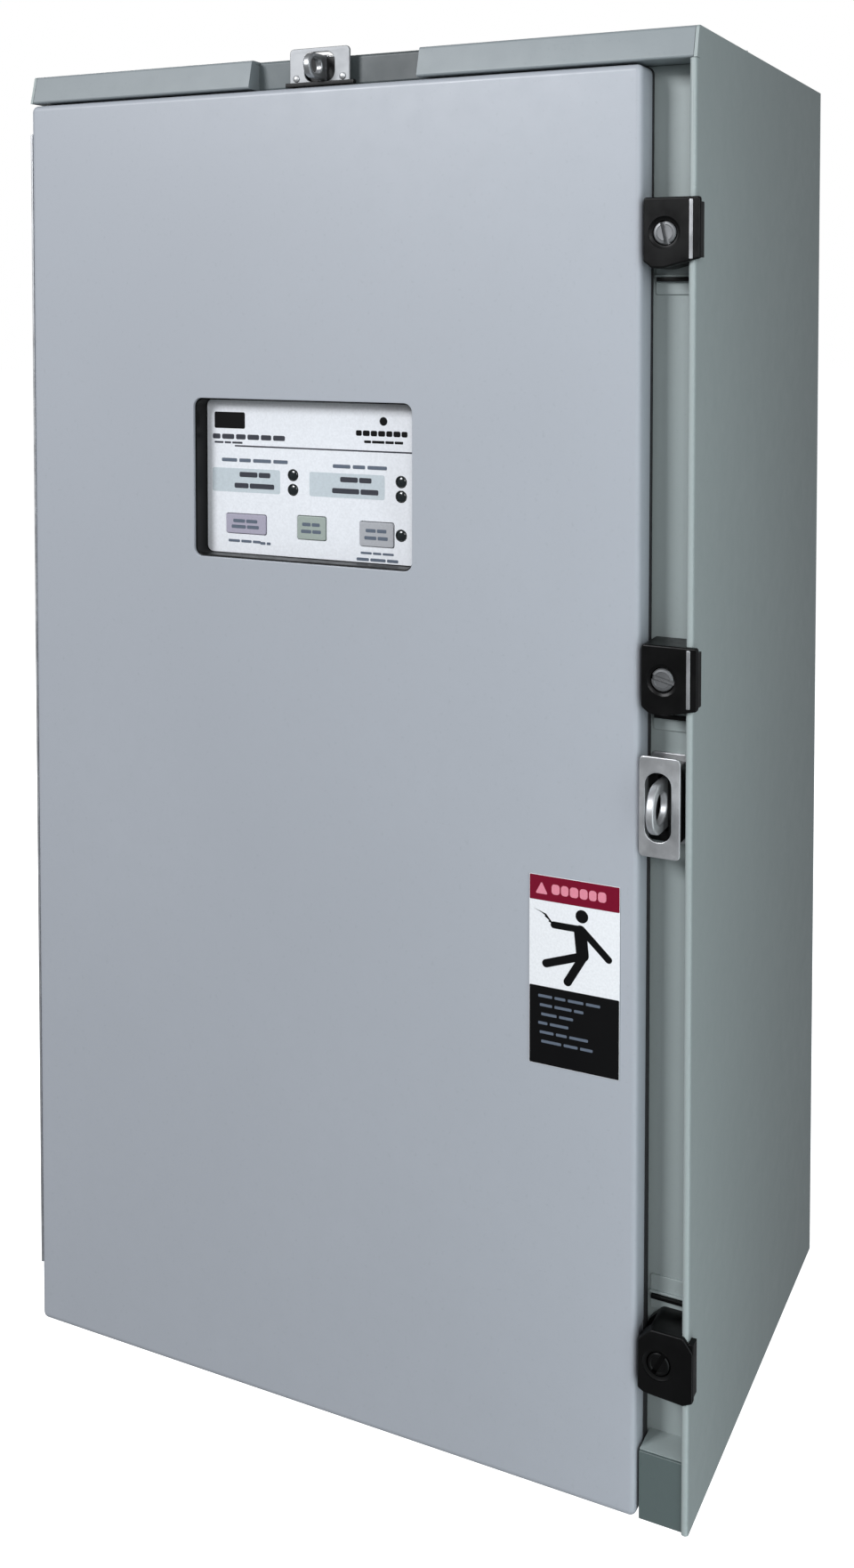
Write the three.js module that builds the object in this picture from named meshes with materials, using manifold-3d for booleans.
// Automatic transfer switch in a wall-mounted, rain-tight sheet-steel enclosure.
// Millimetres. +X right, +Y into the wall, +Z up, the door faces -Y.
// The origin is the centre of the back panel's wall face.

import * as THREE from "three";
import { mergeVertices } from "three/addons/utils/BufferGeometryUtils.js";
import Module from "manifold-3d";

const wasm = await Module();
wasm.setup();

// Driving dimensions
const BODY_WIDTH = 480;
const BODY_HEIGHT = 890;
const BODY_DEPTH = 328;
const SHEET = 2;
const GAP = 0.3;
const FLANGE_RISE = 36; // the wall flanges stand this far above and below the body
const FLANGE_INSET = 56; // from the body's side to the end of a wall flange
const CHANNEL_WIDTH = 32.5; // between the door's edge and the right side's outer face
const CHANNEL_RECESS = 24; // from the front plane to the frame's front face
const HOOD_HEIGHT = 19;
const HOOD_LEAN = 5;
const DOOR_DEPTH = 20;
const FRAME_LAND = 22; // the width of the frame flange that the gasket meets
const KNUCKLE_SIDES = 12;
const CONTACT_SWING = 44; // degrees between the two sources

const LEFT = -BODY_WIDTH / 2;
const RIGHT = BODY_WIDTH / 2;
const TOP = BODY_HEIGHT / 2;
const BOTTOM = -BODY_HEIGHT / 2;
const FRONT = -BODY_DEPTH;
const FRAME = FRONT + CHANNEL_RECESS;
const DOOR_RIGHT = RIGHT - CHANNEL_WIDTH;
const DOOR_TOP = TOP - HOOD_HEIGHT - 1.5;
const DOOR_BACK = FRONT + DOOR_DEPTH;
const HOOD_FOOT = TOP - HOOD_HEIGHT;
const INNER_LEFT = LEFT + SHEET + GAP;
const INNER_RIGHT = RIGHT - SHEET - GAP;
const LAND_LEFT = LEFT + FRAME_LAND;
const LAND_RIGHT = DOOR_RIGHT - FRAME_LAND;

// Features on the front
const DOOR_RIM = 14; // the width of the flange folded in behind the door's edge
const LATCH_X = 222;
const LATCHES = { top: 326, middle: 65.5, bottom: -344 };
const LATCH = { half: 20.5, chamfer: 6, cavity: 18.4, reach: 17.4, pawl: 4 };
const NOTCH_HALF = 61;
const NOTCH_DEPTH = 14;
const TOP_HASP = { x: -11, z: 437.3, halfWidth: 22, slotHalf: 11, top: TOP + 5 };
const SIDE_HASP = { x: 219.5, z: -10.5, halfHeight: 30, slotHalf: 8 };
const SIGN = { x0: 138.5, x1: 196.5, z0: -178.5, z1: -61.5, thickness: 0.4 };
const WINDOW = { x0: -105, x1: 58, z0: 117, z1: 223, radius: 6 };
const OVERLAY_FACE = FRONT + 14.5;
const KEYS = {
  test_key: { x: -72.8, z: 138.3, width: 31, height: 13 },
  bypass_key: { x: -22.4, z: 138.4, width: 21.4, height: 15.4 },
  retransfer_key: { x: 25.9, z: 137, width: 24.4, height: 15.8 },
};
const LAMPS = [[-36.5, 172.7], [-36.5, 163], [43.4, 171.8], [43.4, 162.4], [43.4, 137.4]];
const LAMP_RADIUS = 3.2;

// Back panel
const BOLT = { x: 160, z: TOP + FLANGE_RISE / 2, radius: 5.5 };
const STUD = { x: 170, z: 370, radius: 6 };

// Hinge
const HINGE = { x: LEFT - 5, y: FRAME - 2, radius: 4, bore: 1.9, pin: 1.6, half: 405, knuckles: 9 };

// Mounting panel and switch mechanism
const PANEL = { x0: -205, x1: 180, half: 395, face: -27, thickness: 2.5, flange: 12 };
const ON_PANEL = PANEL.face - GAP;
const BASE = { x0: -145, x1: 172, z0: -170, z1: 90, face: -57 };
const ON_BASE = BASE.face - GAP;
const SHAFT = { y: -95, z: -40, radius: 8, bore: 8.8, x0: -149, x1: 144 };
const POLES = [0, 52, 104];
const ARM = { half: 8, thickness: 6, reach: 52 };
const HUB = { half: 13, radius: 15 };
const WEIGHT = { x: -104, y: -103, z: 10, radius: 38, thickness: 16, axle: 6 };
const CORE = { x: -65, y: -118, radius: 8, z0: -135, z1: -62 };
const COIL = { radius: 21, cheek: 22, foot: 10, z0: -138, z1: -78, plate: 5 };
const OPERATOR = { x0: -145, x1: -36, front: -118, z0: -140, z1: 60, plate: 4, cheek: 3 };
const LUG = { front: -135, back: -103, half: 11, post: 8, z0: 30, z1: 62, wire: 8, screw: 4.5 };
const LOAD_LUG = { x0: 144, x1: 170, depth: 30, half: 15, wire: 7, screw: 4.5 };
const ARC_COVER = { x0: -24, x1: 128, y0: -168, y1: -152, z0: -38.5, z1: 62, barrier: 3, vent: 4 };
const TRANSFORMER = { x0: -190, x1: -120, z0: 300, z1: 360 };
const TERMINALS = { poles: 12, pitch: 12, x0: -60, z0: 330, z1: 370, height: 25, notch: 12 };

const FINISH = {
  door: [0xbcc0c7, 0.5, 0.1],
  body: [0x8f9896, 0.55, 0.1],
  panel: [0xe6e6e2, 0.6, 0.0],
  zinc: [0xb8bcc0, 0.35, 0.9],
  chrome: [0xd0d3d6, 0.15, 1.0],
  black: [0x101010, 0.4, 0.0],
  overlay: [0xe4e8ec, 0.45, 0.0],
  lens: [0x23302d, 0.25, 0.0],
  keypad: [0xa9acb0, 0.5, 0.0],
  sign: [0x73052a, 0.5, 0.0],
  foam: [0x2a2a2a, 0.95, 0.0],
  phenolic: [0x3a2a24, 0.5, 0.0],
  aluminium: [0xa8abad, 0.4, 0.9],
  copper: [0xb87333, 0.35, 0.9],
  board: [0x1d5b33, 0.6, 0.0],
  steel: [0x9b9ea1, 0.45, 0.9],
};

const radians = THREE.MathUtils.degToRad;
const group = new THREE.Group();

// Solids

function toSolid(geometry) {
  const bare = geometry.clone();
  bare.deleteAttribute("normal");
  bare.deleteAttribute("uv");
  const merged = mergeVertices(bare, 1e-4);
  const triVerts = Uint32Array.from(merged.index.array);
  const vertProperties = merged.attributes.position.array;
  return new wasm.Manifold(new wasm.Mesh({ numProp: 3, vertProperties, triVerts }));
}

function toGeometry(solid) {
  const mesh = solid.getMesh();
  const geometry = new THREE.BufferGeometry();
  geometry.setAttribute("position", new THREE.BufferAttribute(mesh.vertProperties, 3));
  geometry.setIndex(new THREE.BufferAttribute(mesh.triVerts, 1));
  geometry.computeVertexNormals();
  return geometry;
}

function join(...pieces) {
  return toGeometry(pieces.map(toSolid).reduce((whole, piece) => whole.add(piece)));
}

function cut(body, ...tools) {
  return toGeometry(tools.map(toSolid).reduce((left, tool) => left.subtract(tool), toSolid(body)));
}

function box(x0, x1, y0, y1, z0, z1) {
  const geometry = new THREE.BoxGeometry(x1 - x0, y1 - y0, z1 - z0);
  return geometry.translate((x0 + x1) / 2, (y0 + y1) / 2, (z0 + z1) / 2);
}

function centred(x, y0, y1, z, width, height) {
  return box(x - width / 2, x + width / 2, y0, y1, z - height / 2, z + height / 2);
}

function rodAlongX(radius, x0, x1, y, z, sides = 16) {
  const geometry = new THREE.CylinderGeometry(radius, radius, x1 - x0, sides);
  return geometry.rotateZ(-Math.PI / 2).translate((x0 + x1) / 2, y, z);
}

function rodAlongY(radius, y0, y1, x, z, sides = 16) {
  const geometry = new THREE.CylinderGeometry(radius, radius, y1 - y0, sides);
  return geometry.translate(x, (y0 + y1) / 2, z);
}

function rodAlongZ(radius, z0, z1, x, y, sides = 16) {
  const geometry = new THREE.CylinderGeometry(radius, radius, z1 - z0, sides);
  return geometry.rotateX(Math.PI / 2).translate(x, y, (z0 + z1) / 2);
}

function shapeOf(points) {
  return new THREE.Shape(points.map(([a, b]) => new THREE.Vector2(a, b)));
}

// A section in y and z, extruded along x
function alongX(shape, x0, x1, curveSegments = 6) {
  const geometry = new THREE.ExtrudeGeometry(shape, { depth: x1 - x0, bevelEnabled: false, curveSegments });
  const turn = new THREE.Matrix4().makeBasis(
    new THREE.Vector3(0, 1, 0),
    new THREE.Vector3(0, 0, 1),
    new THREE.Vector3(1, 0, 0),
  );
  return geometry.applyMatrix4(turn).translate(x0, 0, 0);
}

// An outline in x and z, extruded along +Y
function alongY(shape, y0, y1, curveSegments = 6) {
  const geometry = new THREE.ExtrudeGeometry(shape, { depth: y1 - y0, bevelEnabled: false, curveSegments });
  return geometry.rotateX(Math.PI / 2).translate(0, y1, 0);
}

function roundedRectangle(x0, x1, z0, z1, radius) {
  const shape = new THREE.Shape();
  shape.absarc(x1 - radius, z1 - radius, radius, 0, Math.PI / 2);
  shape.absarc(x0 + radius, z1 - radius, radius, Math.PI / 2, Math.PI);
  shape.absarc(x0 + radius, z0 + radius, radius, Math.PI, 1.5 * Math.PI);
  shape.absarc(x1 - radius, z0 + radius, radius, 1.5 * Math.PI, 2 * Math.PI);
  return shape;
}

function add(name, geometry, [color, roughness, metalness]) {
  const material = new THREE.MeshStandardMaterial({ color, roughness, metalness });
  const mesh = new THREE.Mesh(geometry, material);
  mesh.name = name;
  group.add(mesh);
}

// The four places that mirror (x, z) in the upright and level centre lines
function fourCorners(x, z) {
  return [[x, z], [-x, z], [-x, -z], [x, -z]];
}

// Enclosure

function backPanel() {
  const flangeEnd = RIGHT - FLANGE_INSET;
  const flangeTop = TOP + FLANGE_RISE;
  const studEnd = ON_PANEL + PANEL.thickness + 2 * GAP;
  const studs = fourCorners(STUD.x, STUD.z).map(([x, z]) => rodAlongY(STUD.radius, studEnd, -1, x, z, 12));
  const holes = fourCorners(BOLT.x, BOLT.z).map(([x, z]) => rodAlongY(BOLT.radius, -5, 5, x, z, 12));
  const sheets = join(
    box(LEFT, RIGHT, -SHEET, 0, BOTTOM, TOP),
    box(-flangeEnd, flangeEnd, -SHEET, 0, -flangeTop, flangeTop),
    ...studs,
  );
  return cut(sheets, ...holes);
}

function sideOutline(frontEdge) {
  const step = frontEdge === FRONT ? [] : [[frontEdge, HOOD_FOOT]];
  return shapeOf([
    [-SHEET - GAP, BOTTOM],
    [-SHEET - GAP, TOP],
    [FRONT + HOOD_LEAN, TOP],
    [FRONT, HOOD_FOOT],
    ...step,
    [frontEdge, BOTTOM],
  ]);
}

function leftSide() {
  return join(
    alongX(sideOutline(FRAME), LEFT, LEFT + SHEET),
    box(LEFT, LAND_LEFT, FRAME, FRAME + SHEET, BOTTOM, HOOD_FOOT - GAP),
  );
}

function rightSide() {
  const hem = 4.5;
  const hemDepth = 12;
  const sillTop = BOTTOM + 42;
  const sillFace = FRONT + 2;
  const sillLeft = DOOR_RIGHT + 1.5;
  return join(
    alongX(sideOutline(FRONT), RIGHT - SHEET, RIGHT),
    box(RIGHT - hem, RIGHT, FRONT, FRONT + hemDepth, BOTTOM, HOOD_FOOT - GAP),
    box(LAND_RIGHT, RIGHT - 1, FRAME, FRAME + SHEET, BOTTOM, HOOD_FOOT - GAP),
    box(sillLeft, RIGHT - 1, sillFace, sillFace + SHEET, BOTTOM, sillTop),
    box(sillLeft, RIGHT - 1, sillFace, FRAME + 1, sillTop - SHEET, sillTop),
  );
}

function hoodSection(front) {
  const lean = HOOD_LEAN * (front === FRONT ? 1 : 0);
  const outer = shapeOf([
    [-SHEET - GAP, TOP],
    [front + lean, TOP],
    [front, HOOD_FOOT],
    [FRAME + SHEET, HOOD_FOOT],
    [FRAME + SHEET, TOP - SHEET],
    [-SHEET - GAP, TOP - SHEET],
  ]);
  const hollow = [
    [front + lean + SHEET, TOP - SHEET],
    [front + SHEET, HOOD_FOOT + SHEET],
    [FRAME, HOOD_FOOT + SHEET],
    [FRAME, TOP - SHEET],
  ];
  outer.holes.push(new THREE.Path(hollow.map(([y, z]) => new THREE.Vector2(y, z))));
  return outer;
}

function topHood() {
  const notchFront = FRONT + NOTCH_DEPTH;
  return join(
    alongX(hoodSection(FRONT), INNER_LEFT, -NOTCH_HALF),
    alongX(hoodSection(notchFront), -NOTCH_HALF - 1, NOTCH_HALF + 1),
    alongX(hoodSection(FRONT), NOTCH_HALF, INNER_RIGHT),
    box(LAND_LEFT + GAP, LAND_RIGHT - GAP, FRAME, FRAME + SHEET, DOOR_TOP - FRAME_LAND, TOP - 1),
  );
}

function bottomPan() {
  return join(
    box(INNER_LEFT, INNER_RIGHT, FRAME + SHEET + GAP, -SHEET - GAP, BOTTOM, BOTTOM + SHEET),
    box(LAND_LEFT + GAP, LAND_RIGHT - GAP, FRAME, FRAME + SHEET, BOTTOM, BOTTOM + FRAME_LAND),
    box(LAND_LEFT + GAP, LAND_RIGHT - GAP, FRAME, FRAME + 4, BOTTOM, BOTTOM + SHEET),
  );
}

function mountingPanel() {
  const back = PANEL.face + PANEL.thickness + PANEL.flange;
  const { x0, x1, half, face, thickness } = PANEL;
  return join(
    box(x0, x1, face, face + thickness, -half, half),
    box(x0, x0 + thickness, face, back, -half, half),
    box(x1 - thickness, x1, face, back, -half, half),
    box(x0, x1, face, back, half - thickness, half),
    box(x0, x1, face, back, -half, thickness - half),
  );
}

// A hasp staple: a flat D in the plane of y and z with a hole for a shackle, on a base plate
function staple(x, z, y, reach, half, hole, thickness, baseWidth, baseHeight) {
  const nose = y - reach + half;
  const eye = new THREE.Shape();
  eye.absarc(nose, z, half, Math.PI / 2, 1.5 * Math.PI);
  eye.lineTo(y, z - half);
  eye.lineTo(y, z + half);
  const opening = new THREE.Path();
  opening.absarc(nose, z, hole, Math.PI / 2, 1.5 * Math.PI);
  opening.absarc(nose + 4, z, hole, -Math.PI / 2, Math.PI / 2);
  eye.holes.push(opening);
  return join(
    alongX(eye, x - thickness / 2, x + thickness / 2),
    centred(x, y - SHEET, y, z, baseWidth, baseHeight),
  );
}

function topStaple() {
  return staple(TOP_HASP.x, TOP_HASP.z, FRONT + NOTCH_DEPTH - GAP, 25, 8, 4.5, 5, 26, 10);
}

function sideStaple() {
  return staple(SIDE_HASP.x, SIDE_HASP.z, FRAME - GAP, 41, 15, 9, 5, 22, 54);
}

// Latches

function latchHousing(z) {
  const { half, chamfer, cavity } = LATCH;
  const left = DOOR_RIGHT + 1.8;
  const lip = RIGHT - 4.8;
  const right = RIGHT + 3.4;
  const face = FRONT - 3;
  const outline = shapeOf([
    [left + chamfer, z - half],
    [lip, z - half],
    [right, z - half + chamfer],
    [right, z + half - chamfer],
    [lip, z + half],
    [left + chamfer, z + half],
    [left, z + half - chamfer],
    [left, z - half + chamfer],
  ]);
  const rebate = box(lip, right + 1, FRONT - GAP, FRAME, z - 30, z + 30);
  const block = join(
    cut(alongY(outline, face, FRAME - GAP), rebate),
    box(RIGHT + GAP, right, face + 1, FRONT + 6, z - half + chamfer, z + half - chamfer),
  );
  return cut(
    block,
    box(left - 1, LATCH_X + 8, FRONT + 6, FRONT + 18, z - cavity, z + cavity),
    rodAlongY(7.5, face - 1, FRONT + 8, LATCH_X, z),
  );
}

function latchSpindle(z) {
  const { reach, pawl } = LATCH;
  const face = FRONT - 2.4;
  const shank = join(
    rodAlongY(6.8, face, FRONT + 5.7, LATCH_X, z),
    rodAlongY(4.5, FRONT + 5, FRONT + 15, LATCH_X, z),
    box(LATCH_X - pawl, LATCH_X + pawl, FRONT + 8, FRONT + 14, z, z + reach),
  );
  return cut(shank, centred(LATCH_X, face - 1, face + 1.6, z, 1.8, 20));
}

// Door

function doorPanel() {
  const left = LEFT + SHEET;
  const right = DOOR_RIGHT - SHEET;
  const rim = DOOR_RIM;
  const shell = cut(
    box(LEFT, DOOR_RIGHT, FRONT, DOOR_BACK, BOTTOM, DOOR_TOP),
    box(left, right, FRONT + SHEET, DOOR_BACK - SHEET, BOTTOM + SHEET, DOOR_TOP - SHEET),
    box(LEFT + rim, DOOR_RIGHT - rim, DOOR_BACK - SHEET - 1, DOOR_BACK + 1, BOTTOM + rim, DOOR_TOP - rim),
  );
  const { x0, x1, z0, z1, radius } = WINDOW;
  const opening = roundedRectangle(x0, x1, z0, z1, radius);
  const slots = Object.values(LATCHES).map(
    (z) => box(right - 1, DOOR_RIGHT + 1, FRONT + 5.5, FRONT + 16.5, z - 8, z + 14),
  );
  return cut(shell, alongY(opening, FRONT - 1, FRONT + SHEET + 1, 3), ...slots);
}

function doorGasket() {
  const near = 2;
  const far = 12;
  const y0 = DOOR_BACK + GAP;
  const y1 = FRAME - GAP;
  return cut(
    box(LEFT + near, DOOR_RIGHT - near, y0, y1, BOTTOM + near, DOOR_TOP - near),
    box(LEFT + far, DOOR_RIGHT - far, y0 - 1, y1 + 1, BOTTOM + far, DOOR_TOP - far),
  );
}

function knuckle(z0, z1) {
  return cut(
    rodAlongZ(HINGE.radius, z0, z1, HINGE.x, HINGE.y, KNUCKLE_SIDES),
    rodAlongZ(HINGE.bore, z0 - 1, z1 + 1, HINGE.x, HINGE.y, 8),
  );
}

// One leaf of the continuous hinge: side is -1 for the door's leaf and 1 for the frame's
function hingeLeaf(side) {
  const pitch = (2 * HINGE.half) / HINGE.knuckles;
  const face = LEFT - GAP;
  const back = face - 1.5;
  const near = 4.8;
  const far = 20;

  function strip(a, b, z0, z1) {
    const [y0, y1] = [HINGE.y + side * a, HINGE.y + side * b].sort((p, q) => p - q);
    return box(back, face, y0, y1, z0, z1);
  }

  const pieces = [strip(near, far, -HINGE.half, HINGE.half)];
  for (let i = side > 0 ? 0 : 1; i < HINGE.knuckles; i += 2) {
    const z0 = -HINGE.half + i * pitch + GAP;
    const z1 = z0 + pitch - 2 * GAP;
    pieces.push(strip(0, near + 1, z0, z1), knuckle(z0, z1));
  }
  return join(...pieces);
}

function interfaceBezel() {
  const { x0, x1, z0, z1 } = WINDOW;
  const edge = 7;
  return cut(
    box(x0 - edge, x1 + edge, FRONT + SHEET + GAP, FRONT + 18.7, z0 - edge, z1 + edge),
    box(x0 + 1, x1 - 1, FRONT, FRONT + 20, z0 + 1, z1 - 1),
  );
}

function interfaceOverlay() {
  const { x0, x1, z0, z1 } = WINDOW;
  const margin = 1.3;
  const face = OVERLAY_FACE;
  const sheet = box(x0 + margin, x1 - margin, face, face + 2, z0 + margin, z1 - margin);
  const keyHoles = Object.values(KEYS).map(
    ({ x, z, width, height }) => centred(x, face - 1, face + 3, z, width + 2 * GAP, height + 2 * GAP),
  );
  const lampHoles = LAMPS.map(([x, z]) => rodAlongY(LAMP_RADIUS + GAP, face - 1, face + 3, x, z, 8));
  return cut(sheet, ...keyHoles, ...lampHoles);
}

function key({ x, z, width, height }) {
  return centred(x, OVERLAY_FACE - 0.8, OVERLAY_FACE + 2.6, z, width, height);
}

function statusLamp([x, z]) {
  return rodAlongY(LAMP_RADIUS, OVERLAY_FACE - 0.4, OVERLAY_FACE + 4.2, x, z, 8);
}

function controllerHousing() {
  const { x0, x1, z0, z1 } = WINDOW;
  const wall = 2.5;
  const outer = 7; // beyond the window on each side
  const inner = outer - wall;
  const front = FRONT + 19;
  const back = front + 46;
  return cut(
    box(x0 - outer, x1 + outer, front, back, z0 - outer, z1 + outer),
    box(x0 - inner, x1 + inner, front - 1, back - wall, z0 - inner, z1 + inner),
  );
}

function circuitBoard() {
  const { x0, x1, z0, z1 } = WINDOW;
  const face = FRONT + 30;
  const margin = 4;
  const connector = box(x0 + 10, x0 + 60, face + 1, face + 14, z0 + 8, z0 + 24);
  const relays = box(x1 - 50, x1 - 10, face + 1, face + 18, z0 + 30, z0 + 62);
  const processor = box(x0 + 20, x0 + 44, face + 1, face + 5, z0 + 50, z0 + 74);
  return join(
    box(x0 - margin, x1 + margin, face, face + 1.6, z0 - margin, z1 + margin),
    connector,
    relays,
    processor,
  );
}

function dangerSign() {
  const back = FRONT - GAP;
  return box(SIGN.x0, SIGN.x1, back - SIGN.thickness, back, SIGN.z0, SIGN.z1);
}

function topHaspPlate() {
  const { x, halfWidth, slotHalf, top } = TOP_HASP;
  const back = FRONT + 8;
  const foot = DOOR_TOP + GAP;
  const bracket = join(
    box(x - halfWidth, x + halfWidth, back - SHEET, back, foot, top),
    box(x - halfWidth, x + halfWidth, back - SHEET, FRONT + NOTCH_DEPTH - 1, foot, foot + SHEET),
  );
  return cut(bracket, box(x - slotHalf, x + slotHalf, back - 5, back + 1, foot + 3.5, top - 3.5));
}

function sideHaspPlate() {
  const { x, z, halfHeight, slotHalf } = SIDE_HASP;
  const left = DOOR_RIGHT + GAP;
  const legHalf = halfHeight - 8;
  const bracket = join(
    box(left, RIGHT - 7, FRONT - 1, FRONT + 1, z - halfHeight, z + halfHeight),
    box(left, left + SHEET, FRONT - 1, FRONT + 18.5, z - legHalf, z + legHalf),
  );
  return cut(bracket, box(x - slotHalf, x + slotHalf, FRONT - 3, FRONT + 3, z - 20.5, z + 20.5));
}

// Switch mechanism

function bearingEar(x0, x1) {
  return cut(
    box(x0, x1, SHAFT.y - 16, BASE.face + 1, SHAFT.z - 16, SHAFT.z + 16),
    rodAlongX(SHAFT.bore, x0 - 1, x1 + 1, SHAFT.y, SHAFT.z),
  );
}

function switchBase() {
  const { x0, x1, z0, z1, face } = BASE;
  return join(
    box(x0, x1, face, ON_PANEL, z0, z1),
    bearingEar(-34, -26),
    bearingEar(130, 138),
  );
}

// Turns a solid built about the shaft's axis, arm along -Y, by an angle above -Y and sets it in place
function onShaft(geometry, degrees) {
  return geometry.rotateX(-radians(degrees)).translate(0, SHAFT.y, SHAFT.z);
}

function movingContact(x) {
  const { half, thickness, reach } = ARM;
  const arm = box(x - half, x + half, -reach, -HUB.radius + 3, -thickness / 2, thickness / 2);
  const hub = cut(
    rodAlongX(HUB.radius, x - HUB.half, x + HUB.half, 0, 0),
    rodAlongX(SHAFT.bore, x - HUB.half - 1, x + HUB.half + 1, 0, 0),
  );
  return onShaft(join(arm, hub), CONTACT_SWING / 2);
}

// The normal source's lug; the emergency source's is its mirror image about the shaft
function fixedContact(x) {
  const pad = box(x - 7, x + 7, -50, -34, 3.6, 7);
  const strap = box(x - LUG.post, x + LUG.post, LUG.front, LUG.front + 6, -19, LUG.z0 + 10);
  return join(onShaft(pad, CONTACT_SWING / 2), strap, lugBody(x));
}

function lugBody(x) {
  const { front, back, half, post, z0, z1, wire, screw } = LUG;
  const body = box(x - half, x + half, front, back, z0, z1);
  const stand = box(x - post, x + post, back - 1, ON_BASE, z0 + 10, z0 + 22);
  return cut(
    join(body, stand),
    rodAlongZ(wire, z0 - 1, z1 + 1, x, (front + back) / 2, 12),
    rodAlongY(screw, front - 1, (front + back) / 2, x, z1 - 10, 8),
  );
}

function mirrored(geometry) {
  const solid = toSolid(geometry).mirror([0, 0, 1]).translate([0, 0, 2 * SHAFT.z]);
  return toGeometry(solid);
}

function loadLug(z) {
  const { x0, x1, depth, half, wire, screw } = LOAD_LUG;
  const front = ON_BASE - depth;
  const centre = ON_BASE - depth / 2 - 1;
  return cut(
    box(x0, x1, front, ON_BASE, z - half, z + half),
    rodAlongX(wire, x0 + 8, x1 + 1, centre, z, 12),
    rodAlongY(screw, front - 1, centre, 161, z, 8),
  );
}

function arcCover() {
  const { x0, x1, y0, y1, z0, z1, barrier, vent } = ARC_COVER;
  const front = box(x0, x1, y0, y1, z0, z1);
  const between = [x0, 24.5, 76.5, x1 - barrier];
  const barriers = between.map((x) => box(x, x + barrier, y1 - 1, -62, -30, z1));
  const rows = [12, 24, 36, 48];
  const vents = POLES.flatMap((x) => rows.map((z) => box(x - 14, x + 14, y0 - 2, y1 + 2, z, z + vent)));
  return cut(join(front, ...barriers), ...vents);
}

function contactShaft() {
  return join(
    rodAlongX(SHAFT.radius, SHAFT.x0, SHAFT.x1, SHAFT.y, SHAFT.z),
    box(-134, -126, SHAFT.y - 26, SHAFT.y, SHAFT.z - 6, SHAFT.z + 6),
  );
}

function operatorFrame() {
  const { x0, x1, front, z0, z1, plate, cheek } = OPERATOR;
  const holes = [x0 - 1, x1 - cheek - 1].flatMap((x) => [
    rodAlongX(SHAFT.bore, x, x + cheek + 3, SHAFT.y, SHAFT.z),
    rodAlongX(WEIGHT.axle + 0.6, x, x + cheek + 3, WEIGHT.y, WEIGHT.z),
  ]);
  const frame = join(
    box(x0, x1, ON_BASE - plate, ON_BASE, z0, z1),
    box(x0, x0 + cheek, front, ON_BASE - 1, z0, z1),
    box(x1 - cheek, x1, front, ON_BASE - 1, z0, z1),
  );
  return cut(frame, ...holes);
}

function operatorWeight() {
  const { x, y, z, radius, thickness, axle } = WEIGHT;
  return join(
    rodAlongX(radius, x - thickness / 2, x + thickness / 2, y, z, 24),
    rodAlongX(axle, OPERATOR.x0 - 2, OPERATOR.x1 + 1.5, y, z, 12),
  );
}

function manualHandle() {
  const { x, y, z, radius } = WEIGHT;
  const rod = join(
    rodAlongY(4, -radius - 55, -radius - GAP, x, 0, 10),
    rodAlongY(7, -radius - 56, -radius - 22, x, 0, 10),
  );
  return rod.rotateX(-radians(60)).translate(0, y, z);
}

function solenoidCoil() {
  const { x, y } = CORE;
  const { radius, cheek, foot, z0, z1, plate } = COIL;
  const frame = ON_BASE - OPERATOR.plate - GAP;
  const body = join(
    rodAlongZ(radius, z0 + 4, z1 - 4, x, y, 20),
    box(x - cheek, x + cheek, y - cheek, y + cheek + 2, z0, z0 + plate),
    box(x - cheek, x + cheek, y - cheek, y + cheek + 2, z1 - plate, z1),
    box(x - foot, x + foot, y, frame, z0, z0 + plate - 1),
    box(x - foot, x + foot, y, frame, z1 - plate + 1, z1),
  );
  return cut(body, rodAlongZ(CORE.radius + 1, z0 - 2, z1 + 2, x, y, 16));
}

function solenoidCore() {
  return rodAlongZ(CORE.radius, CORE.z0, CORE.z1, CORE.x, CORE.y, 16);
}

// A drilled bar on two feet, upright or level according to its longer side
function busBar(x0, x1, z0, z1, screws) {
  const face = ON_PANEL - 22;
  const foot = 16;
  const vertical = z1 - z0 > x1 - x0;
  const length = vertical ? z1 - z0 : x1 - x0;
  const feet = [0, length - foot].map((at) => (vertical
    ? box(x0, x1, face + 5, ON_PANEL, z0 + at, z0 + at + foot)
    : box(x0 + at, x0 + at + foot, face + 5, ON_PANEL, z0, z1)));
  const holes = Array.from({ length: screws }, (_, i) => {
    const at = 14 + ((length - 28) * i) / (screws - 1);
    const [x, z] = vertical ? [(x0 + x1) / 2, z0 + at] : [x0 + at, (z0 + z1) / 2];
    return rodAlongY(3, face - 1, face + 4, x, z, 8);
  });
  return cut(join(box(x0, x1, face, face + 8, z0, z1), ...feet), ...holes);
}

function controlTransformer() {
  const { x0, x1, z0, z1 } = TRANSFORMER;
  const core = box(x0, x1, -80, -40, z0, z1);
  const windings = box(x0 + 8, x1 - 8, -88, -34, z0 + 8, z1 - 8);
  const foot = box(x0, x1, -41, ON_PANEL, z0 - 8, z1 + 8);
  return join(core, windings, foot);
}

function terminalStrip() {
  const { poles, pitch, x0, z0, z1, height, notch } = TERMINALS;
  const front = ON_PANEL - height;
  const middle = (z0 + z1) / 2;
  const notches = Array.from({ length: poles }, (_, i) => {
    const x = x0 + (i + 0.5) * pitch;
    return centred(x, front - 2, front + 10, middle, pitch - 3, notch + 2);
  });
  return cut(box(x0, x0 + poles * pitch, front, ON_PANEL, z0, z1), ...notches);
}

// The assembly

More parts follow.
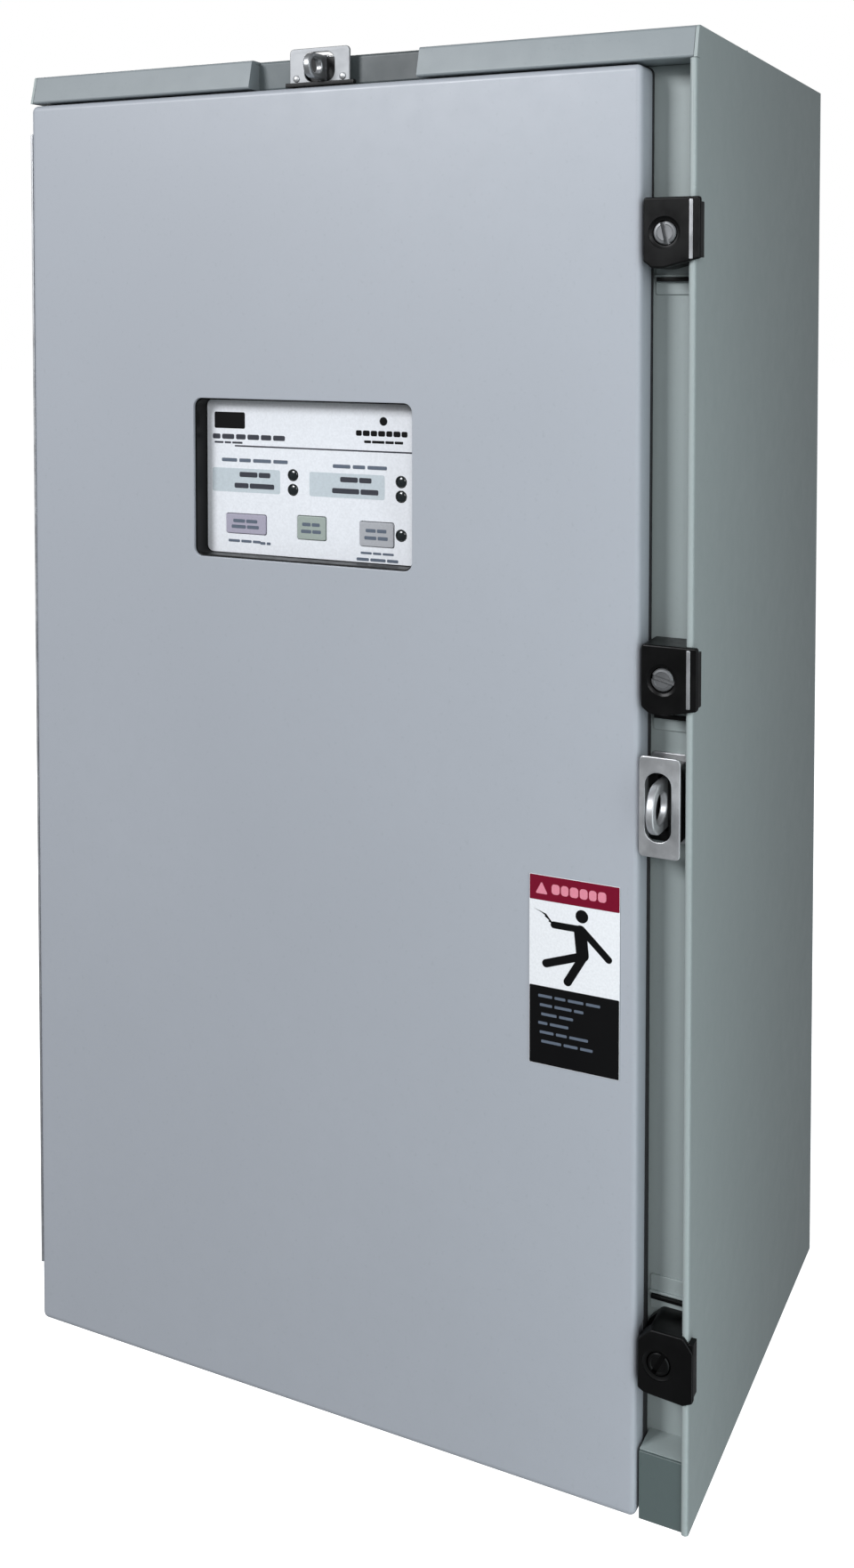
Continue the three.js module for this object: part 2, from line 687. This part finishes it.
add("back_panel", backPanel(), FINISH.body);
add("left_side", leftSide(), FINISH.body);
add("right_side", rightSide(), FINISH.body);
add("top_hood", topHood(), FINISH.body);
add("bottom_pan", bottomPan(), FINISH.body);
add("mounting_panel", mountingPanel(), FINISH.panel);
add("top_staple", topStaple(), FINISH.chrome);
add("side_staple", sideStaple(), FINISH.zinc);
for (const [place, z] of Object.entries(LATCHES)) {
  add(`latch_housing_${place}`, latchHousing(z), FINISH.black);
  add(`latch_spindle_${place}`, latchSpindle(z), FINISH.zinc);
}

add("hinge_frame_leaf", hingeLeaf(1), FINISH.zinc);
add("hinge_door_leaf", hingeLeaf(-1), FINISH.zinc);
add("hinge_pin", rodAlongZ(HINGE.pin, -HINGE.half - 2, HINGE.half + 2, HINGE.x, HINGE.y, 8), FINISH.steel);

add("door_panel", doorPanel(), FINISH.door);
add("door_gasket", doorGasket(), FINISH.foam);
add("interface_bezel", interfaceBezel(), FINISH.black);
add("interface_overlay", interfaceOverlay(), FINISH.overlay);
for (const [name, place] of Object.entries(KEYS)) {
  add(name, key(place), FINISH.keypad);
}
LAMPS.forEach((place, i) => add(`status_lamp_${i + 1}`, statusLamp(place), FINISH.lens));
add("controller_housing", controllerHousing(), FINISH.panel);
add("circuit_board", circuitBoard(), FINISH.board);
add("danger_sign", dangerSign(), FINISH.sign);
add("top_hasp_plate", topHaspPlate(), FINISH.chrome);
add("side_hasp_plate", sideHaspPlate(), FINISH.zinc);

add("switch_base", switchBase(), FINISH.phenolic);
add("contact_shaft", contactShaft(), FINISH.steel);
["a", "b", "c"].forEach((pole, i) => {
  add(`moving_contact_${pole}`, movingContact(POLES[i]), FINISH.copper);
  add(`normal_lug_${pole}`, fixedContact(POLES[i]), FINISH.aluminium);
  add(`emergency_lug_${pole}`, mirrored(fixedContact(POLES[i])), FINISH.aluminium);
  add(`load_lug_${pole}`, loadLug(25 - 65 * i), FINISH.aluminium);
});
add("normal_arc_cover", arcCover(), FINISH.phenolic);
add("emergency_arc_cover", mirrored(arcCover()), FINISH.phenolic);
add("operator_frame", operatorFrame(), FINISH.zinc);
add("operator_weight", operatorWeight(), FINISH.steel);
add("manual_handle", manualHandle(), FINISH.black);
add("solenoid_coil", solenoidCoil(), FINISH.copper);
add("solenoid_core", solenoidCore(), FINISH.steel);
add("neutral_bar", busBar(-195, -177, -370, -230, 6), FINISH.aluminium);
add("ground_bar", busBar(50, 170, -372, -356, 5), FINISH.copper);
add("control_transformer", controlTransformer(), FINISH.steel);
add("terminal_strip", terminalStrip(), FINISH.black);

export default group;
